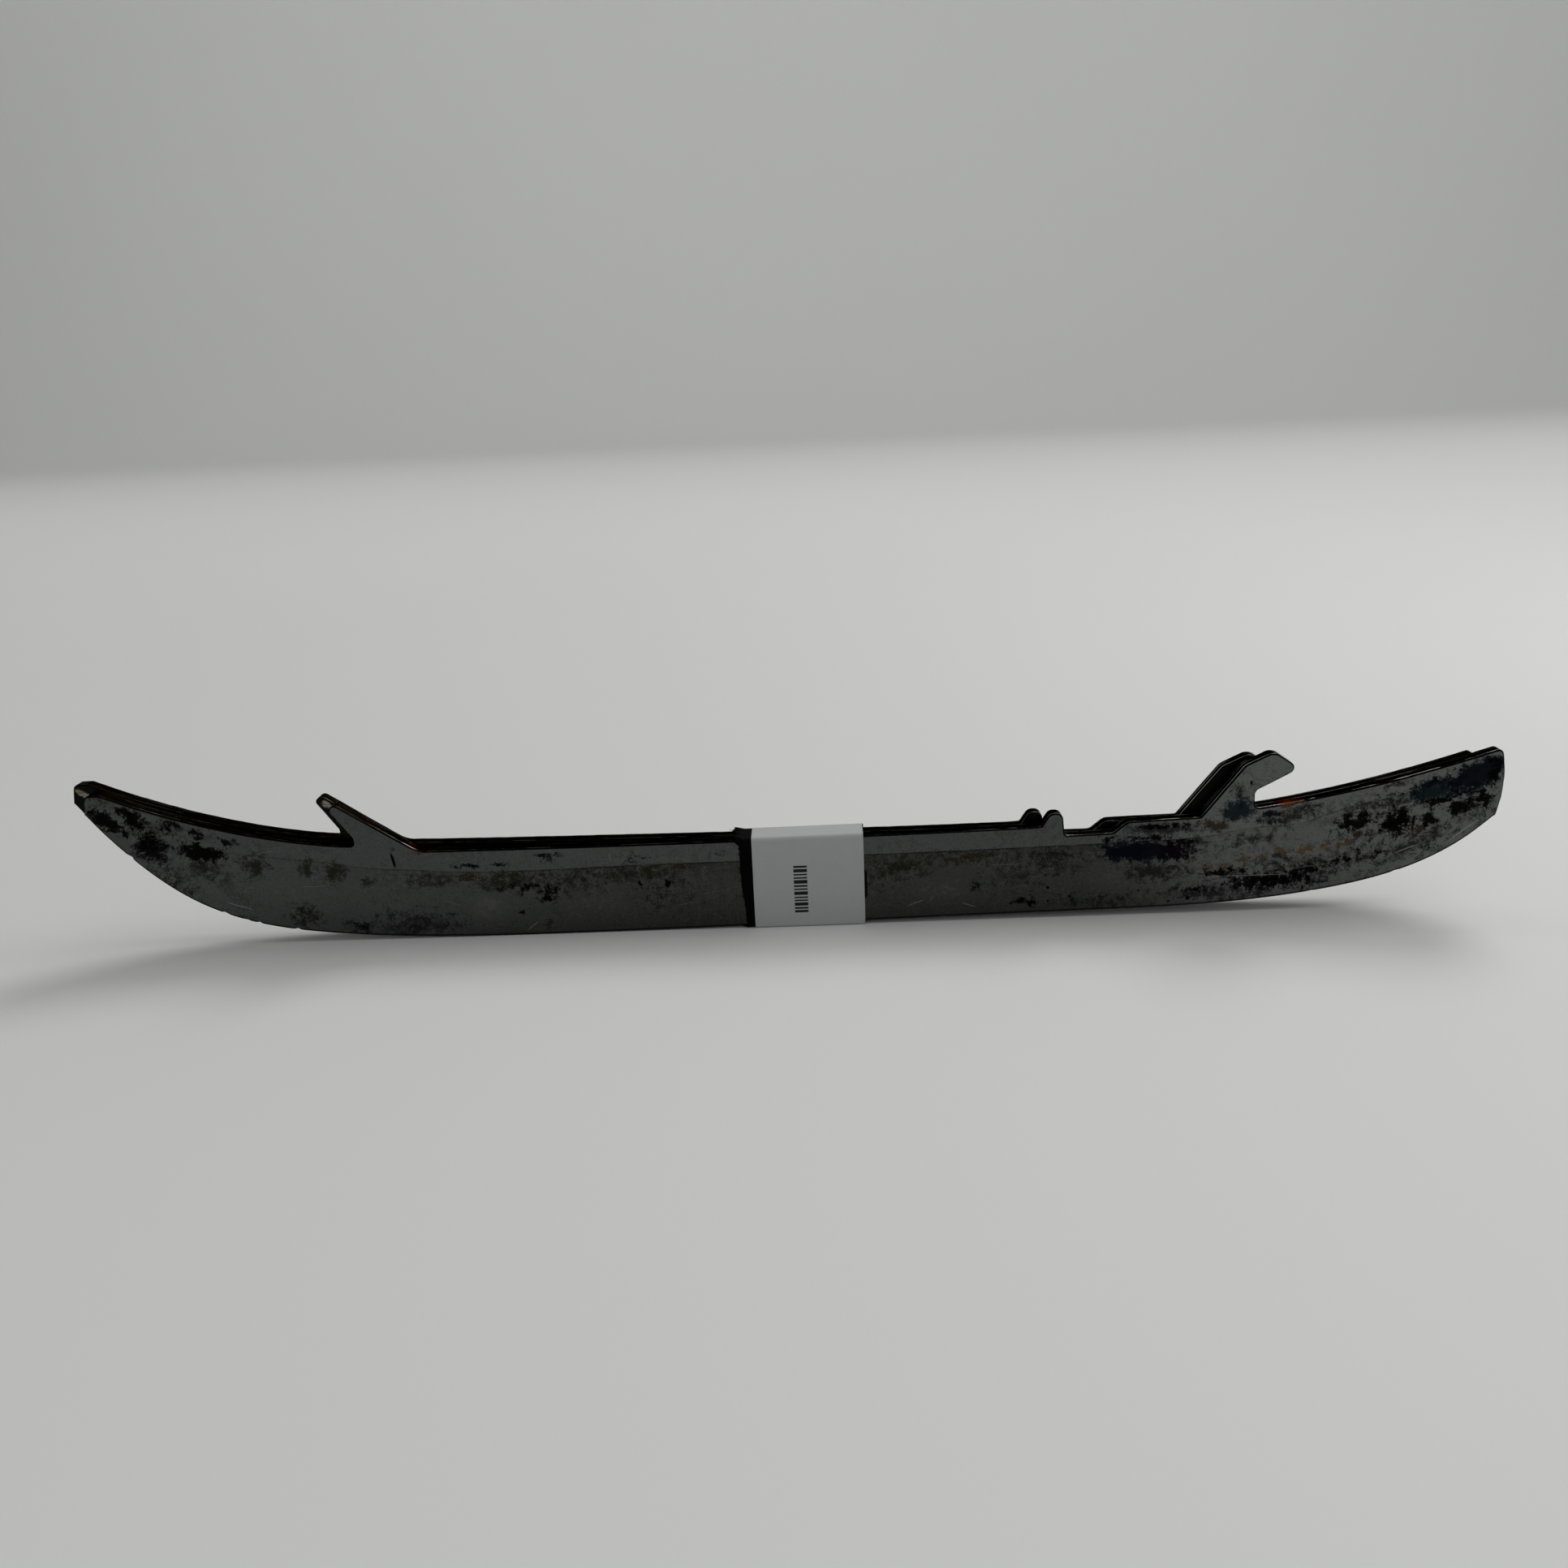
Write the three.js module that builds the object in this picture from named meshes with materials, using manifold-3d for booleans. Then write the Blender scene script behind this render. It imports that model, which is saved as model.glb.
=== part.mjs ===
// Pair of quick-release ice-skate runners (bare blades), bound together at mid length
// by a strip of cloth tape with a paper label over it.
//
// Frame: millimetres, +Z up, +X from heel to toe, +Y from the near runner to the far one.
// The origin is the middle of the underside of the object's bounding box, so the flat
// underside of the wrap, which the pair stands on, lies in the plane Z = 0.

import * as THREE from 'three';
import { mergeVertices } from 'three/addons/utils/BufferGeometryUtils.js';
import Module from 'manifold-3d';

// ---------------------------------------------------------------- driving dimensions
const STEEL_T = 3.0;            // thickness of each runner
const EDGE_BREAK = 0.28;        // 45 degree edge break on every edge except the running edge
const PLATE_GAP = 0.35;         // space between the two runners
const FAR_SHIFT = -3.84;        // the far runner sits this far towards the heel, measured at the ground
const FAR_DROP = -0.10;         // and this far down, at the outline's own X = 0
const FAR_TILT_DEG = -0.645;    // and is tilted: heel up, toe down
const OUTLINE_X0 = 1.602;       // the outline's X = 0 in the object's frame

const TAPE_W = 25.4;            // one inch cloth tape
const TAPE_X0 = -9.9;           // its heel-side edge, in the outline's X
const TAPE_T = 0.25;
const LABEL_W = 22.3;
const LABEL_X0 = -7.15;
const LABEL_T = 0.08;
const WRAP_LAYER_GAP = 0.02;    // glue line between label and tape
const WRAP_SIDE_GAP = 0.06;     // space between a runner's flat side and the tape
const WRAP_ROOF = 19.14;        // inner roof of the wrap above the ground plane
const WRAP_CORNER_R = 0.05;     // inside corner of the folded tape, nearly sharp

// ---------------------------------------------------------------- runner outline
// The outline of the flat face, heel to toe, in [X, Z] with Z measured from the ground.
// Runs of measured points are joined by straight sides whose corners have radii [X, Z, R].
const HEEL_TOP = [[-132.92, 31.11], [-129.71, 29.87], [-126.48, 28.69], [-123.22, 27.57],
  [-119.95, 26.52], [-116.65, 25.53], [-113.33, 24.62], [-110.0, 23.77], [-106.64, 23.0],
  [-103.27, 22.3], [-99.89, 21.68], [-96.49, 21.14], [-93.08, 20.69], [-89.65, 20.32]];
const WAIST = [[-69.8, 18.56], [-62.74, 18.51], [-55.33, 18.47], [-47.92, 18.45], [-40.5, 18.44],
  [-33.09, 18.43], [-25.68, 18.44], [-18.27, 18.45], [-10.86, 18.48], [-3.45, 18.51],
  [3.96, 18.56], [11.37, 18.62], [18.79, 18.7], [26.2, 18.79], [33.61, 18.89], [41.02, 19.0],
  [48.43, 19.13]];
const TOE_TOP = [[94.9, 21.73], [97.34, 22.07], [100.53, 22.55], [103.7, 23.08], [106.87, 23.66],
  [110.04, 24.27], [113.19, 24.93], [116.33, 25.63], [119.47, 26.37], [122.6, 27.14],
  [125.71, 27.96], [128.82, 28.8], [131.92, 29.68], [135.01, 30.6], [137.6, 31.39]];
const RUNNING_EDGE = [[-140.05, 29.1], [-137.17, 25.23], [-134.04, 21.51], [-130.7, 17.94],
  [-127.14, 14.6], [-123.32, 11.58], [-119.21, 9.0], [-114.84, 6.87], [-110.3, 5.18],
  [-105.62, 3.9], [-100.84, 2.94], [-96.01, 2.23], [-91.15, 1.68], [-86.29, 1.24],
  [-81.42, 0.89], [-76.56, 0.62], [-71.69, 0.42], [-66.83, 0.29], [-61.96, 0.2],
  [-57.09, 0.15], [-52.22, 0.14], [-47.36, 0.15], [-42.49, 0.17], [-37.62, 0.2],
  [-32.75, 0.24], [-27.89, 0.285], [-23.02, 0.335], [-18.15, 0.39], [-13.29, 0.45],
  [-8.42, 0.515], [-3.55, 0.58], [1.32, 0.645], [6.19, 0.715], [11.06, 0.785],
  [15.93, 0.855], [20.8, 0.925], [25.67, 0.995], [30.54, 1.06], [35.41, 1.125],
  [40.28, 1.19], [45.16, 1.25], [50.03, 1.305], [54.91, 1.355], [59.78, 1.405],
  [64.66, 1.46], [69.54, 1.53], [74.41, 1.625], [79.28, 1.77], [84.14, 1.98],
  [88.99, 2.27], [93.84, 2.66], [98.67, 3.16], [103.49, 3.8], [108.3, 4.57],
  [113.09, 5.52], [117.81, 6.69], [122.44, 8.17], [126.91, 10.03], [131.19, 12.33],
  [135.22, 15.13], [139.4, 18.72]];

const HEEL_CORNERS = [[-139.55, 32.62, 0.8], [-136.9, 32.72, 1.6]];
const HEEL_HOOK = [[-86.85, 20.2, 1.0], [-86.85, 22.1, 1.5], [-91.05, 28.1, 0.6],
  [-90.1, 29.09, 1.0], [-74.45, 18.62, 6.0]];
const TRIGGER = [[50.75, 19.28, 0.9], [52.4, 21.88, 1.3], [54.5, 21.86, 1.3],
  [54.95, 17.15, 0.9], [64.9, 17.33, 1.6], [67.6, 19.59, 2.0]];      // lug, notch, ramp
const TOE_HOOK = [[82.11, 20.05, 0.9], [90.35, 30.49, 2.6], [95.6, 32.97, 2.2],
  [100.27, 29.76, 0.9], [92.1, 25.5, 1.6], [92.15, 21.37, 1.7]];
const TOE_END = [[139.65, 32.02, 0.9], [140.35, 27.3, 12], [140.2, 22.4, 9]];

// Replaces a polygon's corner by an arc of radius r, or as large a one as its sides allow.
function fillet(prev, c, next, r, steps) {
  const a = new THREE.Vector2(prev[0] - c[0], prev[1] - c[1]);
  const b = new THREE.Vector2(next[0] - c[0], next[1] - c[1]);
  const la = a.length(), lb = b.length();
  a.divideScalar(la); b.divideScalar(lb);
  const half = Math.acos(THREE.MathUtils.clamp(a.dot(b), -1, 1)) / 2;
  const t = Math.min(r / Math.tan(half), 0.49 * la, 0.49 * lb);
  const rr = t * Math.tan(half);
  const mid = a.clone().add(b).normalize().multiplyScalar(rr / Math.sin(half));
  const o = [c[0] + mid.x, c[1] + mid.y];
  const p = [c[0] + a.x * t, c[1] + a.y * t], q = [c[0] + b.x * t, c[1] + b.y * t];
  const a0 = Math.atan2(p[1] - o[1], p[0] - o[0]);
  let da = Math.atan2(q[1] - o[1], q[0] - o[0]) - a0;
  while (da > Math.PI) da -= 2 * Math.PI;
  while (da < -Math.PI) da += 2 * Math.PI;
  const out = [];
  for (let k = 0; k <= steps; k++) {
    out.push([o[0] + rr * Math.cos(a0 + da * k / steps), o[1] + rr * Math.sin(a0 + da * k / steps)]);
  }
  return out;
}

function topOutline() {
  const ends = [[-140.0, 29.35, 0]];
  const chain = [...ends, ...HEEL_CORNERS, ...HEEL_TOP, ...HEEL_HOOK, ...WAIST, ...TRIGGER,
    ...TOE_HOOK, ...TOE_TOP, ...TOE_END, [139.5, 18.9, 0]];
  const out = [];
  chain.forEach((c, i) => {
    if (c.length < 3 || c[2] === 0) out.push([c[0], c[1]]);
    else out.push(...fillet(chain[i - 1], c, chain[i + 1], c[2], c[2] > 3 ? 4 : 5));
  });
  return out;
}

// The blank: the outline carried past the running edge, with broken edges, before grinding.
function blankShape() {
  const top = topOutline();
  const below = [];
  for (let i = RUNNING_EDGE.length - 1; i >= 0; i--) {
    const p = RUNNING_EDGE[Math.max(0, i - 1)], q = RUNNING_EDGE[Math.min(RUNNING_EDGE.length - 1, i + 1)];
    const dx = q[0] - p[0], dz = q[1] - p[1], l = Math.hypot(dx, dz);
    below.push([RUNNING_EDGE[i][0] + 1.2 * dz / l, RUNNING_EDGE[i][1] - 1.2 * dx / l]);
  }
  const pts = [...top, ...below].map(([x, z]) => new THREE.Vector2(x, z));
  return new THREE.Shape(pts);
}

// What the grinding wheel takes away: everything below the running edge.
function groundOffShape() {
  const n = RUNNING_EDGE.length;
  const ext = (a, b, d) => {
    const l = Math.hypot(a[0] - b[0], a[1] - b[1]);
    return [a[0] + (a[0] - b[0]) / l * d, a[1] + (a[1] - b[1]) / l * d];
  };
  const first = ext(RUNNING_EDGE[0], RUNNING_EDGE[1], 3.5);
  const last = ext(RUNNING_EDGE[n - 1], RUNNING_EDGE[n - 2], 3.5);
  const pts = [first, ...RUNNING_EDGE, last, [last[0] + 2, -12], [first[0] - 2, -12]];
  return new THREE.Shape(pts.map(([x, z]) => new THREE.Vector2(x, z)));
}

// ---------------------------------------------------------------- solids
const wasm = await Module();
wasm.setup();

function toManifold(geometry) {
  const g = geometry.clone();
  g.deleteAttribute('normal'); g.deleteAttribute('uv');
  const m = mergeVertices(g, 1e-4);
  return new wasm.Manifold(new wasm.Mesh({
    numProp: 3,
    vertProperties: new Float32Array(m.getAttribute('position').array),
    triVerts: new Uint32Array(m.getIndex().array),
  }));
}

function toGeometry(manifold) {
  const mesh = manifold.getMesh();
  const g = new THREE.BufferGeometry();
  g.setAttribute('position', new THREE.BufferAttribute(new Float32Array(mesh.vertProperties), 3));
  g.setIndex(new THREE.BufferAttribute(new Uint32Array(mesh.triVerts), 1));
  g.computeVertexNormals();
  return g;
}

// Extrudes a shape drawn in X and Z through the thickness, which runs along Y.
function plate(shape, y0, thickness, edge) {
  const g = new THREE.ExtrudeGeometry(shape, {
    depth: thickness - 2 * edge, steps: 1, bevelEnabled: edge > 0,
    bevelThickness: edge, bevelSize: edge, bevelSegments: 1, curveSegments: 1,
  });
  g.rotateX(Math.PI / 2);                      // the drawing's Y becomes Z, its depth becomes -Y
  g.translate(0, y0 + thickness - edge, 0);
  return g;
}

function runnerGeometry() {
  const blank = toManifold(plate(blankShape(), 0, STEEL_T, EDGE_BREAK));
  const off = toManifold(plate(groundOffShape(), -1, STEEL_T + 2, 0));
  return toGeometry(blank.subtract(off));
}

// A closed band round both runners, as a rounded rectangle in Y and Z carried along X.
function bandGeometry(y0, y1, z0, z1, r, t, x0, width) {
  const rect = (Ctor, a0, a1, b0, b1, rad) => {
    const s = new Ctor();
    const k = 3;
    const arc = (cy, cz, from) => {
      for (let i = 0; i <= k; i++) {
        const a = from + Math.PI / 2 * i / k;
        const y = cy + rad * Math.cos(a), z = cz + rad * Math.sin(a);
        if (s.curves.length === 0 && !s.started) { s.moveTo(y, z); s.started = true; } else s.lineTo(y, z);
      }
    };
    arc(a1 - rad, b1 - rad, 0);
    arc(a0 + rad, b1 - rad, Math.PI / 2);
    arc(a0 + rad, b0 + rad, Math.PI);
    arc(a1 - rad, b0 + rad, 1.5 * Math.PI);
    s.closePath();
    return s;
  };
  const outer = rect(THREE.Shape, y0 - t, y1 + t, z0 - t, z1 + t, r + t);
  outer.holes.push(rect(THREE.Path, y0, y1, z0, z1, r));
  const g = new THREE.ExtrudeGeometry(outer, { depth: width, steps: 1, bevelEnabled: false, curveSegments: 1 });
  // the drawing's X and Y become the object's Y and Z, and its depth becomes X
  g.applyMatrix4(new THREE.Matrix4().set(0, 0, 1, x0, 1, 0, 0, 0, 0, 1, 0, 0, 0, 0, 0, 1));
  return g;
}

// ---------------------------------------------------------------- materials
const steelNear = new THREE.MeshStandardMaterial({ color: 0x5a5e63, roughness: 0.42, metalness: 0.9 });
const steelFar = new THREE.MeshStandardMaterial({ color: 0x585955, roughness: 0.45, metalness: 0.9 });
const tapeCloth = new THREE.MeshStandardMaterial({ color: 0x15151a, roughness: 0.9, metalness: 0.0 });
const labelPaper = new THREE.MeshStandardMaterial({ color: 0xd8d6cf, roughness: 0.85, metalness: 0.0 });

// ---------------------------------------------------------------- assembly
const object = new THREE.Group();
const pair = new THREE.Group();                       // the outline's frame, in the object's frame
const pairDepth = 2 * STEEL_T + PLATE_GAP;
pair.position.set(OUTLINE_X0, -pairDepth / 2, 0);
object.add(pair);

const near = new THREE.Mesh(runnerGeometry(), steelNear);
near.name = 'near_runner';
pair.add(near);

const far = new THREE.Mesh(runnerGeometry(), steelFar);
far.name = 'far_runner';
far.position.set(FAR_SHIFT, STEEL_T + PLATE_GAP, FAR_DROP);
far.rotation.y = -THREE.MathUtils.degToRad(FAR_TILT_DEG);
pair.add(far);

const stack = LABEL_T + WRAP_LAYER_GAP + TAPE_T;      // the wrap's thickness under the blades
const tape = new THREE.Mesh(bandGeometry(-WRAP_SIDE_GAP, pairDepth + WRAP_SIDE_GAP,
  stack, WRAP_ROOF, WRAP_CORNER_R, TAPE_T, TAPE_X0, TAPE_W), tapeCloth);
tape.name = 'tape_wrap';
pair.add(tape);

const out = WRAP_SIDE_GAP + TAPE_T + WRAP_LAYER_GAP;
const label = new THREE.Mesh(bandGeometry(-out, pairDepth + out,
  LABEL_T, WRAP_ROOF + TAPE_T + WRAP_LAYER_GAP, WRAP_CORNER_R + TAPE_T + WRAP_LAYER_GAP, LABEL_T,
  LABEL_X0, LABEL_W), labelPaper);
label.name = 'paper_label';
pair.add(label);

export default object;
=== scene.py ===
import math
import random

import bpy
import numpy as np
from mathutils import Matrix, Vector


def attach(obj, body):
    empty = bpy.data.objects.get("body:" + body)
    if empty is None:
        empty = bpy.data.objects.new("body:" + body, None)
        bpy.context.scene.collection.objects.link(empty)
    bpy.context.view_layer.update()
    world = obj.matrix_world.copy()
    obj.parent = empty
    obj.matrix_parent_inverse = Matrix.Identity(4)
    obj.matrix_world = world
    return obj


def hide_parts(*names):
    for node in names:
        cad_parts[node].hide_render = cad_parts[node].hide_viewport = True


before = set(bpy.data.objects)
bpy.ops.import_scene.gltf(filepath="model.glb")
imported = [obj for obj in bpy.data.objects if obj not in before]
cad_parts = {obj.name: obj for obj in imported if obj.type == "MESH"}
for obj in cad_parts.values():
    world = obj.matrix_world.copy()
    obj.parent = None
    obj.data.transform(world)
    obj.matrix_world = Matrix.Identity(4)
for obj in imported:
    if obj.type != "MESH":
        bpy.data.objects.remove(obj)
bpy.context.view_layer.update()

MM = 0.001
rng = random.Random(4127)

# ------------------------------------------------------------------ the part's dimensions, in mm
STEEL_T = 3.0
EDGE_BREAK = 0.28
PLATE_GAP = 0.35
FAR_SHIFT, FAR_DROP, FAR_TILT = -3.84, -0.10, math.radians(0.645)
OUTLINE_X0 = 1.602
PAIR_Y0 = -(2 * STEEL_T + PLATE_GAP) / 2

HEEL_TOP = [(-132.92, 31.11), (-129.71, 29.87), (-126.48, 28.69), (-123.22, 27.57),
            (-119.95, 26.52), (-116.65, 25.53), (-113.33, 24.62), (-110.0, 23.77),
            (-106.64, 23.0), (-103.27, 22.3), (-99.89, 21.68), (-96.49, 21.14),
            (-93.08, 20.69), (-89.65, 20.32)]
WAIST = [(-69.8, 18.56), (-62.74, 18.51), (-55.33, 18.47), (-47.92, 18.45), (-40.5, 18.44),
         (-33.09, 18.43), (-25.68, 18.44), (-18.27, 18.45), (-10.86, 18.48), (-3.45, 18.51),
         (3.96, 18.56), (11.37, 18.62), (18.79, 18.7), (26.2, 18.79), (33.61, 18.89),
         (41.02, 19.0), (48.43, 19.13)]
TOE_TOP = [(94.9, 21.73), (97.34, 22.07), (100.53, 22.55), (103.7, 23.08), (106.87, 23.66),
           (110.04, 24.27), (113.19, 24.93), (116.33, 25.63), (119.47, 26.37), (122.6, 27.14),
           (125.71, 27.96), (128.82, 28.8), (131.92, 29.68), (135.01, 30.6), (137.6, 31.39)]
RUNNING_EDGE = [(-140.05, 29.1), (-137.17, 25.23), (-134.04, 21.51), (-130.7, 17.94),
                (-127.14, 14.6), (-123.32, 11.58), (-119.21, 9.0), (-114.84, 6.87),
                (-110.3, 5.18), (-105.62, 3.9), (-100.84, 2.94), (-96.01, 2.23),
                (-91.15, 1.68), (-86.29, 1.24), (-81.42, 0.89), (-76.56, 0.62),
                (-71.69, 0.42), (-66.83, 0.29), (-61.96, 0.2), (-57.09, 0.15), (-52.22, 0.14),
                (-47.36, 0.15), (-42.49, 0.17), (-37.62, 0.2), (-32.75, 0.24), (-27.89, 0.285),
                (-23.02, 0.335), (-18.15, 0.39), (-13.29, 0.45), (-8.42, 0.515), (-3.55, 0.58),
                (1.32, 0.645), (6.19, 0.715), (11.06, 0.785), (15.93, 0.855), (20.8, 0.925),
                (25.67, 0.995), (30.54, 1.06), (35.41, 1.125), (40.28, 1.19), (45.16, 1.25),
                (50.03, 1.305), (54.91, 1.355), (59.78, 1.405), (64.66, 1.46), (69.54, 1.53),
                (74.41, 1.625), (79.28, 1.77), (84.14, 1.98), (88.99, 2.27), (93.84, 2.66),
                (98.67, 3.16), (103.49, 3.8), (108.3, 4.57), (113.09, 5.52), (117.81, 6.69),
                (122.44, 8.17), (126.91, 10.03), (131.19, 12.33), (135.22, 15.13),
                (139.4, 18.72)]
HEEL_CORNERS = [(-139.55, 32.62, 0.8), (-136.9, 32.72, 1.6)]
HEEL_HOOK = [(-86.85, 20.2, 1.0), (-86.85, 22.1, 1.5), (-91.05, 28.1, 0.6),
             (-90.1, 29.09, 1.0), (-74.45, 18.62, 6.0)]
TRIGGER = [(50.75, 19.28, 0.9), (52.4, 21.88, 1.3), (54.5, 21.86, 1.3),
           (54.95, 17.15, 0.9), (64.9, 17.33, 1.6), (67.6, 19.59, 2.0)]
TOE_HOOK = [(82.11, 20.05, 0.9), (90.35, 30.49, 2.6), (95.6, 32.97, 2.2),
            (100.27, 29.76, 0.9), (92.1, 25.5, 1.6), (92.15, 21.37, 1.7)]
TOE_END = [(139.65, 32.02, 0.9), (140.35, 27.3, 12.0), (140.2, 22.4, 9.0)]


# ------------------------------------------------------------------ small tools
def smoothstep(a, b, x):
    t = np.clip((np.asarray(x, float) - a) / (b - a), 0.0, 1.0)
    return t * t * (3 - 2 * t)


def value_noise(x, seed, scale):
    """Smooth 1-D noise from -1 to 1 of an array x, with features about `scale` long."""
    q = np.asarray(x, float) / scale
    i = np.floor(q).astype(int)
    t = q - i
    t = t * t * (3 - 2 * t)

    def h(n):
        v = np.sin((n + seed * 57.31) * 127.1) * 43758.5453
        return (v - np.floor(v)) * 2 - 1
    return h(i) * (1 - t) + h(i + 1) * t


def spline(points, step):
    """Points about `step` apart on a smooth line through all the given ones."""
    p = np.array(points, float)
    m = np.empty_like(p)
    m[1:-1] = (p[2:] - p[:-2]) / 2
    m[0], m[-1] = p[1] - p[0], p[-1] - p[-2]
    out = []
    for i in range(len(p) - 1):
        n = max(2, int(round(np.linalg.norm(p[i + 1] - p[i]) / step)))
        t = np.arange(n)[:, None] / n
        h = [2 * t**3 - 3 * t**2 + 1, t**3 - 2 * t**2 + t, -2 * t**3 + 3 * t**2, t**3 - t**2]
        out.append(h[0] * p[i] + h[1] * m[i] + h[2] * p[i + 1] + h[3] * m[i + 1])
    out.append(p[-1:])
    return [tuple(q) for q in np.vstack(out)]


def fillet(prev, c, nxt, r, step):
    """The arc that replaces corner c, of radius r or as large as its sides allow."""
    a = np.array(prev[:2], float) - c[:2]
    b = np.array(nxt[:2], float) - c[:2]
    la, lb = np.linalg.norm(a), np.linalg.norm(b)
    a, b = a / la, b / lb
    half = math.acos(max(-1, min(1, float(a @ b)))) / 2
    t = min(r / math.tan(half), 0.49 * la, 0.49 * lb)
    rr = t * math.tan(half)
    mid = (a + b) / np.linalg.norm(a + b) * rr / math.sin(half)
    o = np.array(c[:2], float) + mid
    p, q = np.array(c[:2]) + a * t, np.array(c[:2]) + b * t
    a0 = math.atan2(p[1] - o[1], p[0] - o[0])
    da = math.atan2(q[1] - o[1], q[0] - o[0]) - a0
    while da > math.pi:
        da -= 2 * math.pi
    while da < -math.pi:
        da += 2 * math.pi
    n = max(7, int(abs(da) * rr / step))
    return [(o[0] + rr * math.cos(a0 + da * k / n), o[1] + rr * math.sin(a0 + da * k / n))
            for k in range(n + 1)]


def straights(points, step):
    """Adds points on long straight sides, so that wear and wobble can show on them."""
    out = []
    for p, q in zip(points[:-1], points[1:]):
        n = max(1, int(math.hypot(q[0] - p[0], q[1] - p[1]) / step))
        out += [(p[0] + (q[0] - p[0]) * k / n, p[1] + (q[1] - p[1]) * k / n) for k in range(n)]
    return out + [points[-1]]


def top_outline():
    chain = ([(-140.0, 29.35, 0)] + HEEL_CORNERS + [(*p, 0) for p in HEEL_TOP] + HEEL_HOOK
             + [(*p, 0) for p in WAIST] + TRIGGER + TOE_HOOK + [(*p, 0) for p in TOE_TOP]
             + TOE_END + [(139.5, 18.9, 0)])
    runs = {HEEL_TOP[0]: HEEL_TOP, WAIST[0]: WAIST, TOE_TOP[0]: TOE_TOP}
    inside = set(HEEL_TOP) | set(WAIST) | set(TOE_TOP)
    out = []
    for i, c in enumerate(chain):
        if c[:2] in runs:
            out += spline(runs[c[:2]], 0.7)
        elif c[:2] in inside:
            continue
        elif c[2] == 0:
            out.append(c[:2])
        else:
            out += fillet(chain[i - 1], c, chain[i + 1], c[2], 0.16)
    return straights(out, 0.7)


def make_mesh(name, verts, faces, material, flat_faces=(), sharp=None):
    me = bpy.data.meshes.new(name)
    me.from_pydata([tuple(v) for v in np.asarray(verts, float) * MM], [], faces)
    me.update()
    smooth = np.ones(len(me.polygons), bool)
    for f in flat_faces:
        smooth[f] = False
    me.polygons.foreach_set("use_smooth", smooth)
    if sharp is not None:
        e = np.zeros(len(me.edges) * 2, np.int32)
        me.edges.foreach_get("vertices", e)
        e = e.reshape(-1, 2)
        me.edges.foreach_set("use_edge_sharp", sharp(e[:, 0], e[:, 1]))
    me.materials.append(material)
    ob = bpy.data.objects.new(name, me)
    bpy.context.scene.collection.objects.link(ob)
    return ob


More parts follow.
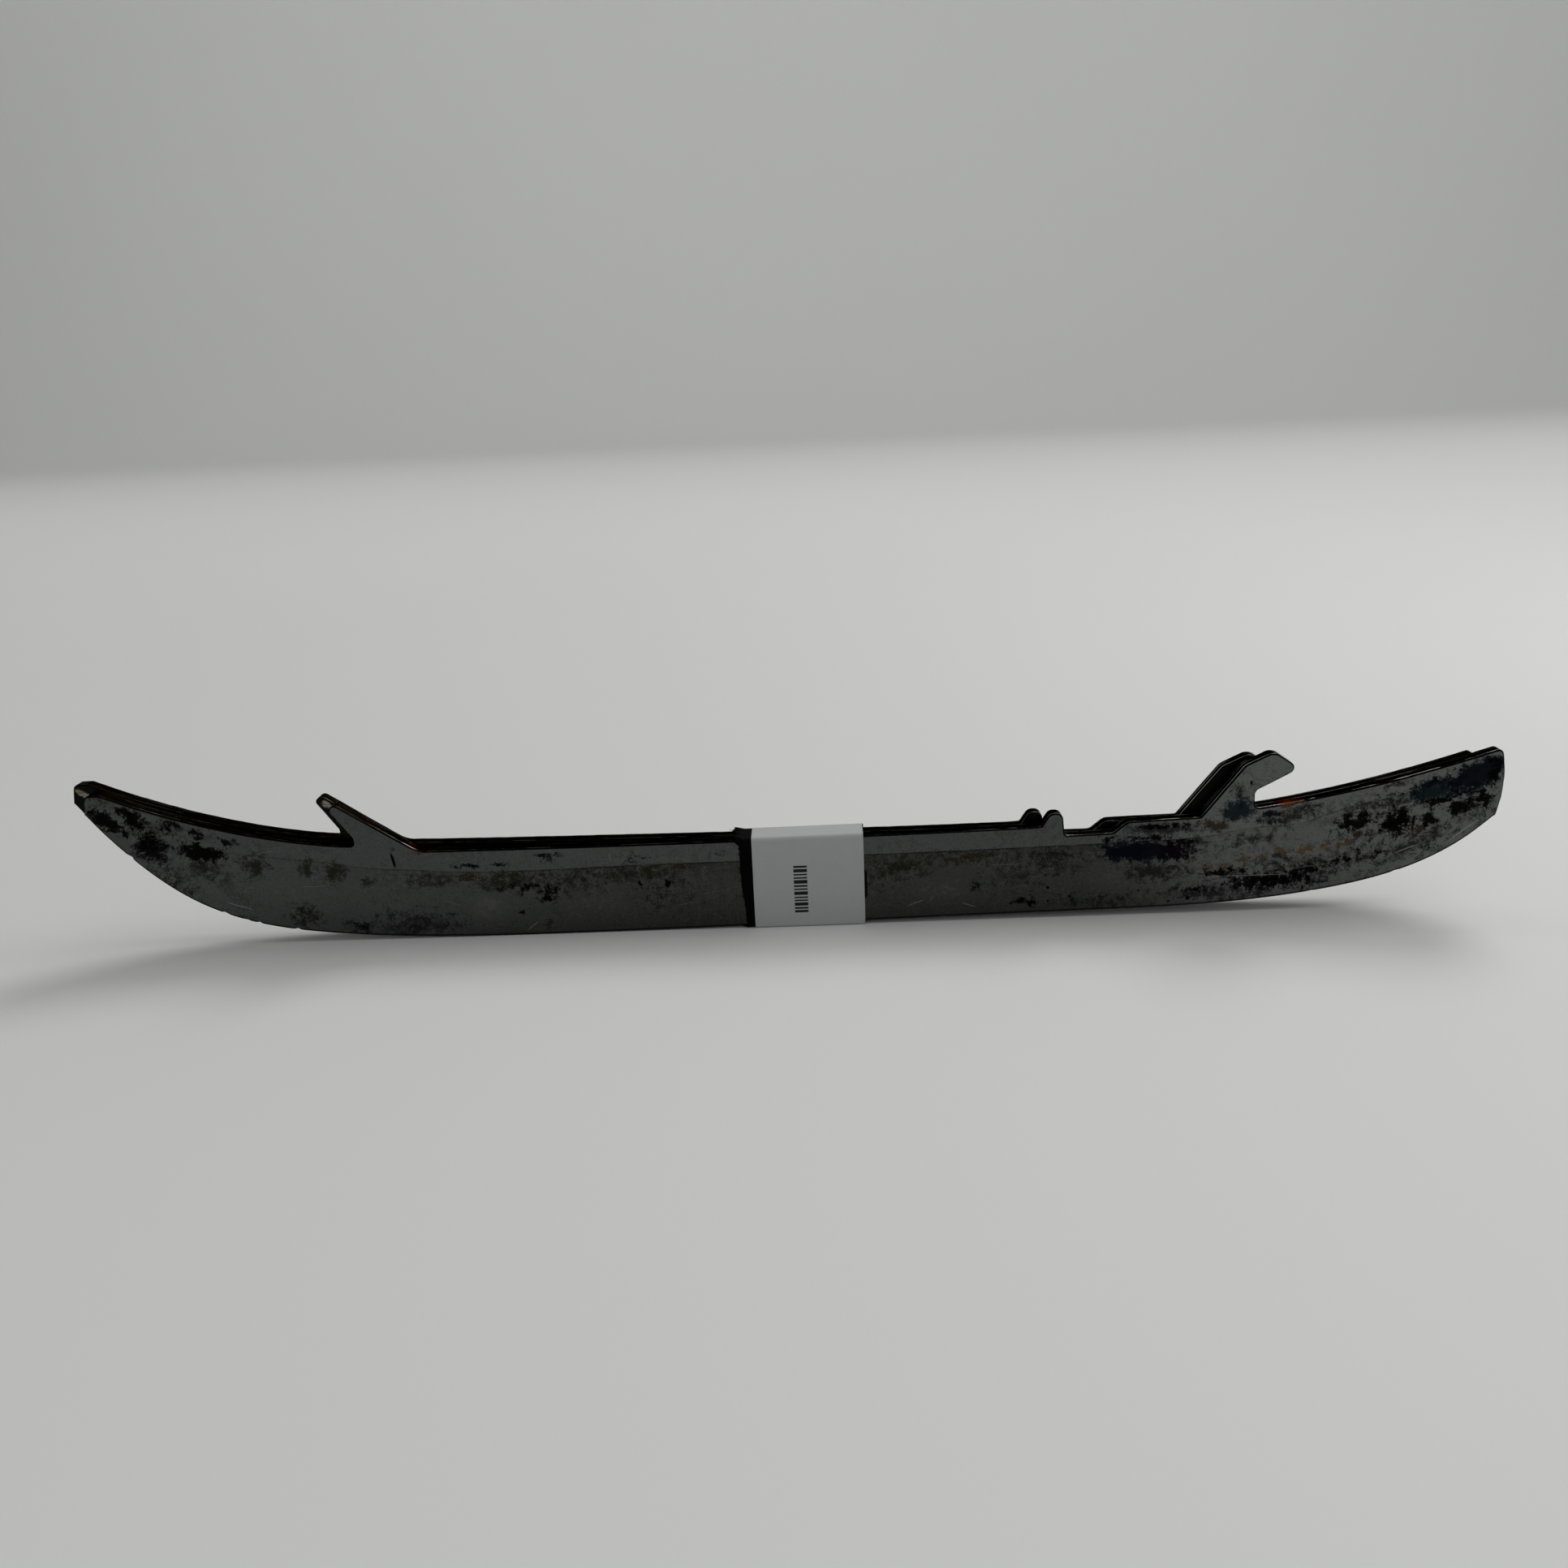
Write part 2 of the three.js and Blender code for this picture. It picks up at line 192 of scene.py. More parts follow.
# ------------------------------------------------------------------ material building blocks
class Mat:
    """A node material under construction. A value given to a socket is a link or a plain number."""

    def __init__(self, name):
        self.mat = bpy.data.materials.new(name)
        self.mat.use_nodes = True
        self.t = self.mat.node_tree
        self.t.nodes.clear()
        self.cache = {}
        self.out = self.t.nodes.new("ShaderNodeOutputMaterial")

    def put(self, sock, v):
        if v is None:
            return
        if isinstance(v, bpy.types.NodeSocket):
            self.t.links.new(v, sock)
        else:
            if sock.type == "RGBA" and len(v) == 3:
                v = (*v, 1.0)
            sock.default_value = v

    def node(self, kind, **props):
        n = self.t.nodes.new(kind)
        for k, v in props.items():
            setattr(n, k, v)
        return n

    def math(self, op, a, b=None, c=None, clamp=False):
        n = self.node("ShaderNodeMath", operation=op, use_clamp=clamp)
        for i, v in enumerate((a, b, c)):
            self.put(n.inputs[i], v)
        return n.outputs[0]

    def add(self, *v):
        r = v[0]
        for x in v[1:]:
            r = self.math("ADD", r, x)
        return r

    def mul(self, *v):
        r = v[0]
        for x in v[1:]:
            r = self.math("MULTIPLY", r, x)
        return r

    def sub(self, a, b):
        return self.math("SUBTRACT", a, b)

    def vmath(self, op, a, b=None, scale=None):
        n = self.node("ShaderNodeVectorMath", operation=op)
        self.put(n.inputs[0], a)
        if b is not None:
            self.put(n.inputs[1], b)
        if scale is not None:
            self.put(n.inputs["Scale"], scale)
        return n.outputs["Value"] if op in ("LENGTH", "DOT_PRODUCT", "DISTANCE") else n.outputs[0]

    def sep(self, v):
        n = self.node("ShaderNodeSeparateXYZ")
        self.put(n.inputs[0], v)
        return n.outputs[0], n.outputs[1], n.outputs[2]

    def comb(self, x, y, z):
        n = self.node("ShaderNodeCombineXYZ")
        for s, v in zip(n.inputs, (x, y, z)):
            self.put(s, v)
        return n.outputs[0]

    def mapping(self, v, loc=(0, 0, 0), rot=(0, 0, 0), scale=(1, 1, 1), kind="POINT"):
        n = self.node("ShaderNodeMapping", vector_type=kind)
        self.put(n.inputs["Vector"], v)
        n.inputs["Location"].default_value = loc
        n.inputs["Rotation"].default_value = rot
        n.inputs["Scale"].default_value = scale
        return n.outputs[0]

    def noise(self, v, scale, detail=2.0, rough=0.5, dist=0.0, out="Fac"):
        n = self.node("ShaderNodeTexNoise")
        self.put(n.inputs["Vector"], v)
        n.inputs["Scale"].default_value = scale
        n.inputs["Detail"].default_value = detail
        n.inputs["Roughness"].default_value = rough
        n.inputs["Distortion"].default_value = dist
        return n.outputs[0] if out == "Fac" else n.outputs[1]

    def remap(self, v, a, b, c=0.0, d=1.0, kind="SMOOTHSTEP"):
        n = self.node("ShaderNodeMapRange", interpolation_type=kind)
        n.clamp = True
        self.put(n.inputs["Value"], v)
        for name, x in (("From Min", a), ("From Max", b), ("To Min", c), ("To Max", d)):
            self.put(n.inputs[name], x)
        return n.outputs[0]

    def mix(self, f, a, b, blend="MIX"):
        n = self.node("ShaderNodeMix", data_type="RGBA", blend_type=blend)
        self.put(n.inputs[0], f)
        self.put(n.inputs[6], a)
        self.put(n.inputs[7], b)
        return n.outputs[2]

    def bump(self, height, strength, distance, normal=None):
        n = self.node("ShaderNodeBump")
        n.inputs["Strength"].default_value = strength
        n.inputs["Distance"].default_value = distance
        self.put(n.inputs["Height"], height)
        if normal is not None:
            self.put(n.inputs["Normal"], normal)
        return n.outputs[0]

    def turned(self, v, degrees):
        """v turned by -degrees in its XY plane, made once for each angle."""
        key = (v.node.name, degrees)
        if key not in self.cache:
            a = math.radians(degrees)
            if degrees == 0:
                self.cache[key] = v
            else:
                self.cache[key] = self.comb(self.vmath("DOT_PRODUCT", v, (math.cos(a), math.sin(a), 0)),
                                            self.vmath("DOT_PRODUCT", v, (-math.sin(a), math.cos(a), 0)), 0.0)
        return self.cache[key]

    def ellipse(self, v, angles, cx, cz, rx, rz, turn):
        """Distance from the middle of a turned ellipse, 1 on its outline. The turn is the nearest
        of `angles`, because each angle costs a set of coordinates."""
        deg = min(angles, key=lambda k: abs(k - turn))
        a = math.radians(deg)
        ux, uz = cx * math.cos(a) + cz * math.sin(a), -cx * math.sin(a) + cz * math.cos(a)
        n = self.node("ShaderNodeVectorMath", operation="MULTIPLY_ADD")
        self.put(n.inputs[0], self.turned(v, deg))
        n.inputs[1].default_value = (1 / rx, 1 / rz, 0)
        n.inputs[2].default_value = (-ux / rx, -uz / rz, 0)
        return self.vmath("LENGTH", n.outputs[0])

    def object_mm(self, own=None):
        """Object coordinates in mm: along the blade, through the thickness, up.

        own: (place, turn about Y) of the axes to read them in, when they aren't the object's."""
        n = self.node("ShaderNodeTexCoord")
        p = self.vmath("SCALE", n.outputs["Object"], scale=1000.0)
        if own is None:
            return p
        at, turn = own
        p = self.vmath("SUBTRACT", p, at)
        c, s = math.cos(turn), math.sin(turn)
        return self.comb(self.vmath("DOT_PRODUCT", p, (c, 0.0, -s)), self.sep(p)[1],
                         self.vmath("DOT_PRODUCT", p, (s, 0.0, c)))

    def surface(self, colour, metallic, roughness, normal, **fixed):
        p = self.node("ShaderNodeBsdfPrincipled")
        self.put(p.inputs["Base Color"], colour)
        self.put(p.inputs["Metallic"], metallic)
        self.put(p.inputs["Roughness"], roughness)
        self.put(p.inputs["Normal"], normal)
        for k, v in fixed.items():
            p.inputs[k.replace("_", " ")].default_value = v
        self.t.links.new(p.outputs[0], self.out.inputs[0])
        return p


# ------------------------------------------------------------------ steel
# Height of the line that the skate holder's rim left on the side, in [X, Z].
RIM_LINE = [(-140, 26.0), (-133, 24.0), (-124, 22.2), (-114.7, 20.5), (-103.4, 18.7),
            (-92.9, 17.2), (-82.9, 15.5), (-76.5, 15.1), (-63.6, 14.1), (-49.5, 14.05),
            (-35, 14.3), (-10, 14.5), (15.3, 14.9), (35.7, 15.1), (54.8, 15.4), (70, 15.7),
            (80, 16), (93, 17.9), (99.8, 18.2), (106.2, 19.9), (112.5, 21.8), (118.9, 23.1),
            (123.5, 24.5), (128, 26.1), (132.5, 27.6), (138.9, 30.2)]

# Stains on the near side: class: [(X, Z, half length, half height, turn in degrees, strength)]
STAINS = {
    "light": [(-61.5, 6.2, 4.5, 3.6, 0, .55), (129.4, 20.6, 2.2, 2.2, 27, .9),
              (-117, 12.5, 6.5, 3.0, -35, .4), (-100, 10.5, 9, 3.4, -15, .35),
              (-38, 6.5, 9, 3.6, 0, .25), (31, 6.5, 8, 3.4, 0, .3), (64, 8.2, 5, 2.8, 0, .3),
              (108, 12.2, 7, 2.6, 14, .7), (101, 16.0, 7, 2.0, 14, .8),
              (118.5, 12.6, 4.5, 3.0, 27, .5), (133.2, 17.0, 3.4, 2.4, 27, .8),
              (88, 14.4, 5, 1.6, 0, .6), (136.6, 25.0, 1.6, 1.6, 27, .6), (113, 24.2, 12, 1.5, 14, .95),
              (127, 28.6, 8, 1.4, 14, .9), (90, 17.2, 4.5, .8, 0, .6), (-126, 27.6, 6, 1.0, -20, .5)],
    "olive": [(-107.6, 17, 2.8, 2.8, 0, .8), (-97, 16.1, 1.9, 2.0, 0, .75),
              (-91.5, 15, 2.3, 2.4, 0, .85), (-85, 13, 1.8, 1.2, 0, .7),
              (-57, 11.8, 6.2, 2.4, 0, .8), (22.5, 12, 6.5, 2.4, 0, .7),
              (-31, 12.6, 10, 2.2, 0, .6), (37, 13.6, 15, 1.2, 0, .5), (-72, 12.6, 6, 1.8, -5, .6),
              (-118, 17.0, 4, 2.6, -35, .7), (-129, 25.0, 5, 3.0, -35, .5), (46, 9.5, 7, 3.2, 0, .45),
              (118, 21.5, 8, 2.2, 14, .5), (-98, 5.5, 4, 2.2, -15, .5), (12, 10, 12, 4, 0, .4)],
    "dark": [(104, 8.6, 20, 3.0, 14, .58), (124, 13.0, 11, 2.6, 27, .62), (86, 4.6, 14, 2.4, 0, .6),
             (92, 15.4, 8, 1.6, 14, .45), (-99.4, 5.9, 3.4, 2.4, -15, .55), (-87.6, 3.0, 3.6, 1.7, -15, .65),
             (-76, 3.0, 9.5, 3.2, 0, .6), (73.5, 9.4, 6.4, 2.3, 0, .75), (74.2, 18.3, 7.6, 1.5, 0, .9),
             (100.6, 20.4, 6.0, 1.8, 14, .7), (89, 24.6, 1.7, 2.6, 14, .55),
             (-25, 8.0, 8, 4, 0, .3), (-45, 11.0, 8, 2.8, 0, .45), (53, 12.0, 6, 3.0, 0, .55),
             (80, 14.0, 4.0, 3.0, 0, .5), (96, 10.6, 10, 2.0, 0, .35), (62, 3.2, 12, 1.7, 0, .45),
             (-124, 14.5, 5, 2.6, -35, .4), (104, 7.2, 10, 2.4, 14, .6), (113, 15.0, 6, 2.5, 14, .45),
             (122, 22.8, 8, 2.2, 14, .5), (135, 22.0, 4, 5, 27, .55), (-49, 16.9, 4, .9, 0, .4)],
    "brown": [(-65, 12.9, 2.6, .9, 0, .85), (-22.2, 13.6, 2.2, .7, 0, .7), (-50, 12.6, 3, .8, 0, .5),
              (35, 13.3, 3.4, 1.0, 0, .8), (-49.5, 2.5, 2.1, .9, 0, .5),
              (119.5, 25.7, 3.0, .8, 14, .7), (124.9, 15.6, 2.2, 1.6, 14, .75),
              (113.0, 16.5, 3.2, 1.2, 14, .6), (-114.2, 20.2, 1.3, 1.2, 0, .8),
              (84.8, 18.6, 3.8, 1.4, 0, .75), (-131, 29.0, 2.6, .7, -15, .5)],
    "ochre": [(83.8, 9.6, 1.7, .55, 0, .9), (86.9, 9.9, 1.4, .9, 0, .75), (90.6, 11.2, 2.0, .75, 14, .85),
              (94.6, 11.5, 1.7, .6, 0, .7), (98.2, 12.6, 2.2, .8, 0, .85), (102.6, 12.7, 1.7, .9, 14, .9),
              (106.6, 13.1, 1.5, 1.0, 0, .8), (110.4, 13.9, 1.9, .8, 14, .75)],
    "teal": [(67.0, 13.9, 4.6, 2.2, 0, .9), (89.3, 21.4, 3.4, 2.4, 14, .85),
             (127.4, 24.2, 5.6, 2.6, 14, .85), (-29.5, 16.1, 3.8, 1.2, 0, .3), (-14, 16, 2.6, 1.2, 0, .3),
             (56, 4.2, 5, 1.5, 0, .25)],
    "navy": [(71.5, 13.7, 8.6, 2.1, 0, .95), (135.2, 27.2, 6.0, 3.0, 27, 1.0),
             (-49, 17, 2.6, .9, 0, .5), (37.7, 7.2, 1.8, 1.1, 0, .5), (95.6, 20.3, 2.8, 1.4, 14, .6),
             (-112.6, 22.5, 1.8, .8, -15, .8), (126.5, 26.0, 5, 1.6, 14, .5)],
    "purple": [(-127.9, 21.6, 4.0, 3.4, -35, .85), (77.4, 13.6, 3.4, 2.1, 0, .95),
               (120.6, 18.2, 3.4, 3.2, 14, .7)],
    "black": [(-136.3, 27.6, 4.2, 1.9, -35, 1.0), (-130.6, 27.9, 3.6, 2.2, -35, .85),
              (-123.6, 26.6, 2.6, 1.4, -15, .8), (-118.3, 24.4, 1.8, 1.6, -15, .7),
              (-128.3, 22.5, 2.8, 2.4, -35, .75), (-117.8, 20.2, 5.2, 2.0, -15, 1.0),
              (-132.6, 24.6, 1.6, 1.1, -35, .6),
              (-64.5, 15.5, 2.8, .6, 0, .75), (-58.5, 15.6, 1.8, .6, 0, .7),
              (-48.5, 8.6, 3.0, 1.7, 20, .7), (-54, 10.5, 5.0, 1.8, 0, .45), (-54.5, 5, .7, .45, 0, .7),
              (-30, 10.2, .5, 1.0, 0, .95), (-24.5, 10.5, .9, 1.0, 20, .9),
              (-87.8, 3.2, 3.0, .9, -15, .5), (47.5, 3.8, 3.2, 1.0, 0, .75), (52, 6.5, .4, .4, 0, .9),
              (52, 3.7, .35, .35, 0, .9), (56.3, 4.5, .35, .35, 0, .9), (70.1, 5.2, .45, .35, 0, .9),
              (76.1, 2.8, .45, .35, 0, .9), (80, 3.2, .5, .4, 0, .8),
              (112.4, 18.4, 4.6, 1.7, 14, .85), (96.4, 6.4, 10.5, 2.1, 0, .82), (87, 8.4, 5.4, 1.4, 0, .7), (110, 10.2, 5, 1.4, 14, .6),
              (81.5, 5.2, 4.5, .9, 0, .6), (117.5, 12.0, 4, 1.2, 27, .5),
              (103.5, 8.4, 4, 1.2, 14, .7), (120.4, 17.8, 3.6, 2.8, 14, 1.0), (126.6, 18.4, 2.2, 1.8, 14, .95),
              (132.4, 20.6, 3.0, 1.9, 27, .85), (137.4, 22.2, 2.0, 2.0, 27, .9), (128.4, 22.0, 3.4, 1.3, 14, .8),
              (138.5, 27.5, 1.6, 3.4, 0, .7), (132, 28.3, .45, .45, 0, .9), (91.4, 27.2, .4, .4, 0, .9),
              (75, 18.8, 6.2, .8, 0, .7), (72, 16.3, 5.5, .8, 0, .7), (63.5, 16.5, 2.0, .9, 0, .6)],
    "rust": [(99, 22.25, 2.8, .6, 14, .9), (-73.5, 18.5, 3.0, .45, 0, .6), (51, 19.5, 1.0, .5, 0, .8)],
}
STAIN_COLOUR = {
    "light": (.112, .114, .106), "olive": (.014, .0135, .0075), "brown": (.026, .016, .0085),
    "ochre": (.082, .052, .020), "teal": (.0045, .0105, .0125), "navy": (.0028, .0036, .0075),
    "dark": (.0095, .0100, .0095), "purple": (.0045, .0028, .0042), "black": (.0020, .0019, .0018),
    "rust": (.075, .028, .011),
}
# How each class meets the clean steel: (threshold, width, share of the lace in its edge, cover)
STAIN_EDGE = {
    "light": (.18, .60, .9, .60), "olive": (.10, .72, .85, .86), "dark": (.10, .66, .9, .86),
    "brown": (.20, .50, .9, .88), "ochre": (.24, .46, .7, .80), "teal": (.16, .42, .6, .93),
    "navy": (.16, .38, .6, .96), "purple": (.22, .38, .7, .94), "black": (.28, .34, .8, .98),
    "rust": (.30, .40, .9, .80),
}
# Scratches on the near side: (X, Z, half length, half width, turn in degrees, strength)
SCRATCHES = [(-112, 8.5, 3.2, .12, -18, .9), (91.5, 7.7, 8.5, .10, 0, .75), (104.5, 9.3, 5.5, .08, 8, .5),
             (-52.6, 2.0, 1.8, .12, 38, .8), 
             (122.6, 12.2, 2.6, .14, 20, .9),
             (133.4, 15.6, 3.6, .16, 38, .9), (25.4, 4.2, 2.1, .10, 20, .8),
             (36.1, 3.4, 1.6, .10, -38, .8), (-35.7, 16.4, .08, 1.0, 0, .6),
             (-20.5, 5.8, 2.4, .06, 8, .5), (-96, 12.2, 3.4, .06, -8, .5),
             (44, 11.8, 3.8, .05, 0, .45), (108, 13.6, 3.0, .07, 20, .6),
             (-68, 7.4, 2.8, .05, -18, .45), (15.9, 9.3, .3, .12, 0, .5)]
GOUGES = [(-79.5, 17.2, .35, 1.8, 8, 1.0), (-79.2, 19.6, .5, .5, 0, .5)]


FAR_PLACE = (OUTLINE_X0 + FAR_SHIFT, PAIR_Y0 + STEEL_T + PLATE_GAP, FAR_DROP)


def steel(name, seed, far):
    m = Mat(name)
    p = m.object_mm((FAR_PLACE, FAR_TILT) if far else None)
    x, y, z = m.sep(p)
    # Beyond the middle of the thickness the marks are other ones, so the two sides differ.
    back = m.math("GREATER_THAN", y, 1.6)
    if far:
        xs = m.math("MULTIPLY_ADD", m.math("MULTIPLY_ADD", back, 2.0, -1.0), x,
                    m.math("MULTIPLY_ADD", back, 3.5, -9.0))
        classes = ("light", "dark", "olive", "brown", "navy", "black")
    else:
        xs = m.math("MULTIPLY_ADD", m.math("MULTIPLY_ADD", back, -2.0, 1.0), x,
                    m.math("MULTIPLY", back, 6.5))
        classes = ("light", "dark", "olive", "brown", "ochre", "teal", "navy", "purple", "black", "rust")
    flat = m.comb(xs, z, 0.0)
    plane = m.comb(m.add(x, seed), z, m.mul(back, 9.7))

    # patterns, from the broadest to the finest
    broad = m.noise(plane, .13, 6, .62)
    mid = m.noise(plane, .62, 8, .72)
    fine = m.noise(plane, 2.3, 6, .72)
    lace = m.add(m.mul(m.sub(mid, .5), 1.9), m.mul(m.sub(fine, .5), 1.0))
    ends = m.math("MAXIMUM", m.remap(x, 78, 104), m.remap(x, -104, -122))
    wob = m.vmath("SUBTRACT", m.noise(plane, .45, 4, .6, out="Color"), (.5, .5, .5))
    ragged = m.vmath("ADD", flat, m.vmath("SCALE", wob, scale=4.2))
    tight = m.vmath("ADD", flat, m.vmath("SCALE", wob, scale=.6))
    # lines left by the lengthwise grinding
    lines = m.comb(m.mul(m.add(x, seed), .035), m.mul(back, 3.3), m.mul(z, 5.5))
    ground = m.noise(lines, 1.0, 4, .7)

    # the two shades either side of the line that the holder's rim left
    curve = m.node("ShaderNodeFloatCurve")
    c = curve.mapping.curves[0]
    pts = [((a + 142) / 284, b / 40) for a, b in RIM_LINE]
    c.points[0].location, c.points[1].location = pts[0], pts[-1]
    for a in pts[1:-1]:
        c.points.new(*a)
    curve.mapping.update()
    m.put(curve.inputs["Value"], m.math("MULTIPLY_ADD", x, 1 / 284, .5))
    rim = m.sub(m.add(z, m.mul(m.sub(mid, .5), .55)), m.mul(curve.outputs[0], 40.0))
    above = m.remap(rim, -.12, .12)
    line = m.math("MULTIPLY", m.remap(rim, -.40, -.06), m.remap(rim, .20, .0))
    under = m.math("MULTIPLY", m.remap(rim, -3.8, -.3), m.remap(rim, .1, -.1))
    # how strongly the two shades differ along the blade
    differ = m.math("MULTIPLY", m.remap(x, -112, -8, .10, 1.0), m.remap(x, 64, 96, 1.0, .45))

    steel_up = m.mix(broad, (.062, .066, .065), (.090, .095, .093))
    steel_low = m.mix(m.mul(differ, .85), steel_up, m.mix(broad, (.028, .029, .026), (.054, .056, .050)))
    col = m.mix(above, steel_low, steel_up)
    col = m.mix(m.mul(m.remap(x, 58, 92), .50), col, (.166, .171, .169))
    col = m.mix(m.mul(under, differ, m.remap(mid, .36, .60), .50), col, (.017, .016, .009))
    col = m.mix(m.mul(line, m.remap(broad, .35, .55), m.math("MULTIPLY_ADD", differ, .6, .25)), col, (.008, .008, .007))
    # clouds of tarnish, stronger at the two ends
    cloud = m.remap(m.add(m.mul(m.sub(broad, .5), 1.6), lace), -.06, .42)
    col = m.mix(m.mul(cloud, m.math("MULTIPLY_ADD", ends, .50, .30)), col, (.013, .013, .011))
    worn = m.remap(lace, -.06, -.34)
    col = m.mix(m.mul(worn, m.math("MULTIPLY_ADD", ends, .38, .12)), col, (.118, .120, .112))

    covered = None
    for kind in classes:
        at, width, share, cover_most = STAIN_EDGE[kind]
        total = None
        for (cx, cz, rx, rz, turn, strength) in STAINS[kind]:
            small = min(rx, rz) < .75
            d = m.ellipse(tight if small else ragged, (0, 20) if small else (-35, -15, 0, 14, 27),
                          cx, cz, rx, rz, turn)
            s = m.remap(d, 1.45, .25, 0.0, strength, kind="LINEAR")
            total = s if total is None else m.math("MAXIMUM", total, s)
        edge = m.math("MULTIPLY_ADD", lace, share * 1.5, total)
        cover = m.mul(m.remap(edge, at, at + width), m.remap(total, .01, .16), cover_most)
        col = m.mix(cover, col, STAIN_COLOUR[kind])
        if kind not in ("light", "ochre"):
            covered = cover if covered is None else m.math("MAXIMUM", covered, cover)

    # grinding, specks and scratches
    bare = m.math("MULTIPLY_ADD", covered, -.94, .94)
    col = m.mix(m.mul(m.remap(ground, .54, .76), bare, .10), col, (.14, .142, .136))
    col = m.mix(m.mul(m.remap(ground, .46, .28), .18), col, (.010, .010, .010))
    col = m.mix(m.mul(m.remap(fine, .52, .66), .38), col, (.014, .014, .012))
    col = m.mix(m.mul(m.remap(fine, .48, .36), bare, .20), col, (.115, .118, .112))
    scratch = None
    waved = m.vmath("ADD", flat, m.vmath("SCALE", wob, scale=.35))
    for (cx, cz, rx, rz, turn, strength) in SCRATCHES:
        d = m.ellipse(waved, (-18, 0, 8, 20, 38), cx, cz, rx, rz, turn)
        s = m.remap(d, 1.15, .6, 0.0, strength)
        scratch = s if scratch is None else m.math("MAXIMUM", scratch, s)
    for turn, stretch, low_at, k in ((.12, 22, .735, .4), (-.5, 16, .75, .35), (1.1, 14, .76, .3)):
        u = m.vmath("DOT_PRODUCT", plane, (math.cos(turn) / stretch, math.sin(turn) / stretch, 0))
        w = m.vmath("DOT_PRODUCT", plane, (-math.sin(turn) * 3.2, math.cos(turn) * 3.2, 0))
        s = m.mul(m.remap(m.noise(m.comb(u, w, m.mul(back, 3.7)), 1.0, 2, .5), low_at - .04, low_at + .02), k)
        scratch = m.math("MAXIMUM", scratch, m.mul(s, m.remap(broad, .4, .6)))
    col = m.mix(m.mul(scratch, .75), col, (.22, .22, .214))
    gouge = None
    for (cx, cz, rx, rz, turn, strength) in GOUGES:
        d = m.ellipse(tight, (0, 8), cx, cz, rx, rz, turn)
        s = m.remap(d, 1.2, .6, 0.0, strength)
        gouge = s if gouge is None else m.math("MAXIMUM", gouge, s)
    col = m.mix(gouge, col, (.003, .003, .003))

    if far:
        # The inner side is black, both dirt and painted shade from the near blade close in front of it, and lighter at
        # the tips, where it sticks out.
        inner = m.math("LESS_THAN", y, .02)
        own = m.vmath("ADD", m.comb(x, z, 0.0), m.vmath("SCALE", wob, scale=2.0))
        tips = None
        for (cx, cz, rx, rz) in ((-137.9, 30.8, 2.1, .68), (-88.9, 27.4, 1.35, .66)):
            s = m.remap(m.math("MULTIPLY_ADD", lace, .9, m.ellipse(own, (-35,), cx, cz, rx, rz, -35)), 1.15, .62)
            tips = s if tips is None else m.math("MAXIMUM", tips, s)
        streak = m.mix(m.remap(m.noise(m.comb(m.mul(x, .3), m.mul(y, 1.0), m.mul(z, 5.0)), 1.0, 3, .6), .35, .65),
                       (.10, .085, .065), (.30, .275, .225))
        inside = m.mix(tips, m.mix(mid, (.002, .002, .002), (.014, .013, .012)), streak)
        col = m.mix(inner, col, inside)

    # the rims: black oxide with brown and grey streaks that run along them, painted highlight lines along the bevels
    # and the toe hook's slopes, and a ground hollow below
    yy = m.math("ABSOLUTE", m.sub(y, 1.5))
    rimface = m.remap(yy, 1.4995, 1.4985, kind="LINEAR")
    along = m.noise(m.comb(m.mul(x, .055), m.mul(y, 1.9), m.mul(z, .055)), 1.0, 5, .65)
    tint = m.noise(m.comb(m.mul(x, .045), m.mul(y, .9), m.add(m.mul(z, .045), 7.3)), 1.0, 3, .6)
    rimcol = m.mix(m.remap(tint, .38, .62), (.040, .026, .015), (.028, .028, .018))
    rimcol = m.mix(m.remap(x, -40, 30), rimcol, (.036, .033, .031))
    heelward = m.remap(x, -40, -96)
    rimcol = m.mix(m.remap(m.math("MULTIPLY_ADD", heelward, .055, along), .64, .50), rimcol, (.0026, .0025, .0026))
    # painted highlights: thin bright lines along the rims and on the toe hook's slopes, also a little rougher there
    painted_highlight = m.math("MAXIMUM", m.remap(m.math("ABSOLUTE", m.sub(y, .44)), .11, .03),
                   m.mul(m.remap(m.math("ABSOLUTE", m.sub(y, 2.35)), .09, .03), .6))
    painted_highlight = m.mul(painted_highlight, m.remap(m.noise(m.comb(m.mul(x, .16), m.mul(z, .16), m.mul(y, .6)), 1.0, 3, .6), .44, .58),
                  m.remap(x, 30, 76, .22, .80))
    hook = m.math("MULTIPLY", m.remap(x, 75, 78), m.remap(x, 93, 90))
    painted_hook_highlight = m.math("MAXIMUM", m.remap(m.math("ABSOLUTE", m.sub(y, .52)), .16, .05),
                    m.mul(m.remap(m.math("ABSOLUTE", m.sub(y, 1.75)), .13, .04), .8))
    painted_hook_highlight = m.math("MAXIMUM", painted_hook_highlight, m.mul(m.remap(m.math("ABSOLUTE", m.sub(y, 2.65)), .14, .05), .9))
    painted_highlight = m.math("MAXIMUM", painted_highlight, m.mul(painted_hook_highlight, hook, m.remap(z, 20.5, 22.5), m.remap(along, .30, .50, .45, 1.0)))
    rimcol = m.mix(painted_highlight, rimcol, (.52, .515, .50))
    bevel = m.remap(yy, 1.19, 1.24)
    rimcol = m.mix(m.mul(bevel, .88), rimcol, (.0030, .0030, .0032))
    rimcol = m.mix(m.mul(bevel, m.remap(fine, .60, .68), .7), rimcol, (.10, .10, .097))
    if not far:
        redder = m.math("MULTIPLY", m.remap(m.math("ABSOLUTE", m.sub(x, 99.5)), 3.4, 1.2), m.remap(mid, .40, .52))
        redder = m.math("MAXIMUM", redder, m.math("MULTIPLY", m.mul(m.remap(m.math("ABSOLUTE", m.add(x, 74.0)), 3.2, 1.4), .5), m.remap(mid, .44, .54)))
